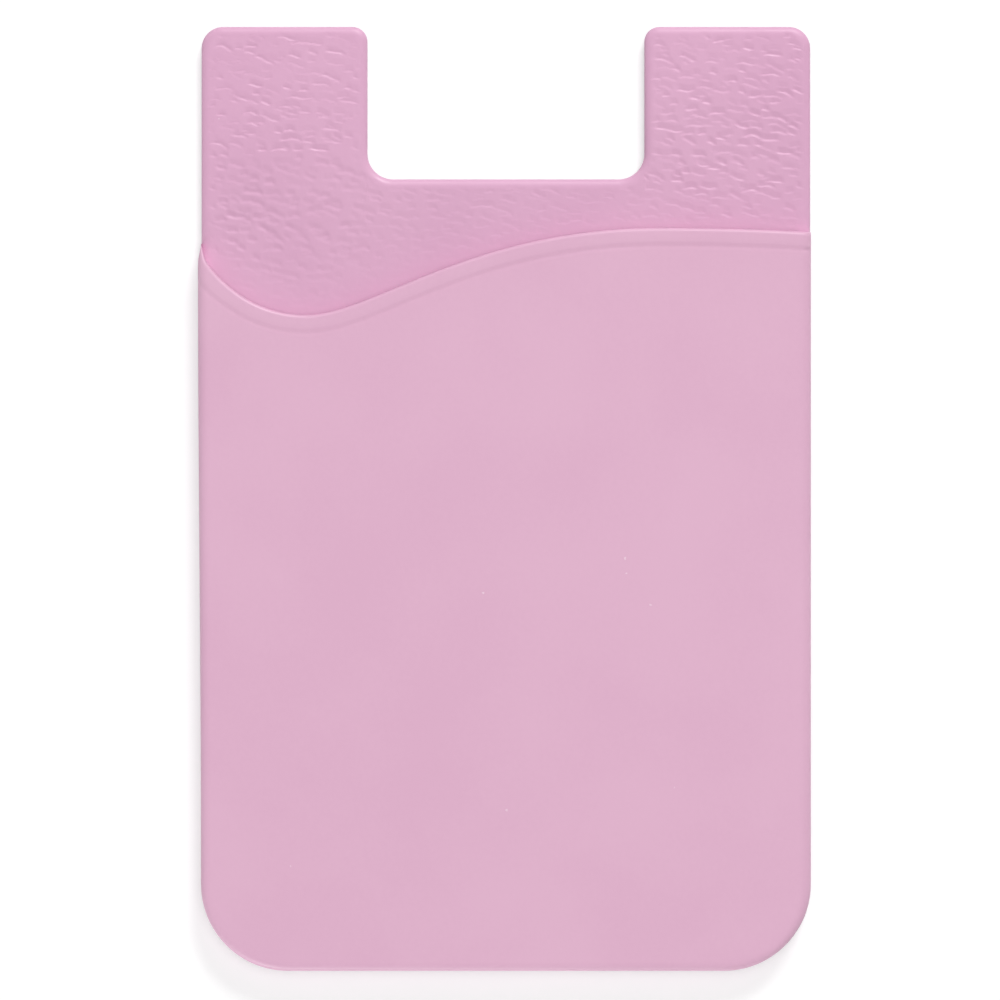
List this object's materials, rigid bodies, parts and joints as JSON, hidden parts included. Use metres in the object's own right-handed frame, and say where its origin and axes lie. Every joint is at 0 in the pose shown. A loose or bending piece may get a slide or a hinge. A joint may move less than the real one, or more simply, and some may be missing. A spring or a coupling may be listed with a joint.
{
  "type": "stick-on phone card holder",
  "caption": "Flat silicone card pocket with a wavy beaded mouth, a thumb notch between square ears and an adhesive back for a phone.",
  "frame": {"origin": "middle of the holder's outline, on the outer face of the release liner, which is the surface it lies on", "axes": "+Z out of the pocket front, +Y along the holder from its closed bottom edge to the ears, +X to the right when looking at the front"},
  "size_m": [0.0571, 0.088, 0.0035],
  "materials": {
    "silicone": "matte, fine leather grain on the bare back panel",
    "adhesive": "tacky satin",
    "liner_paper": "smooth coated paper"
  },
  "bodies": {
    "root": {"back_panel": "silicone", "pocket_wall": "silicone", "pocket_front": "silicone", "adhesive_sheet": "adhesive", "release_liner": "liner_paper"}
  },
  "joints": []
}
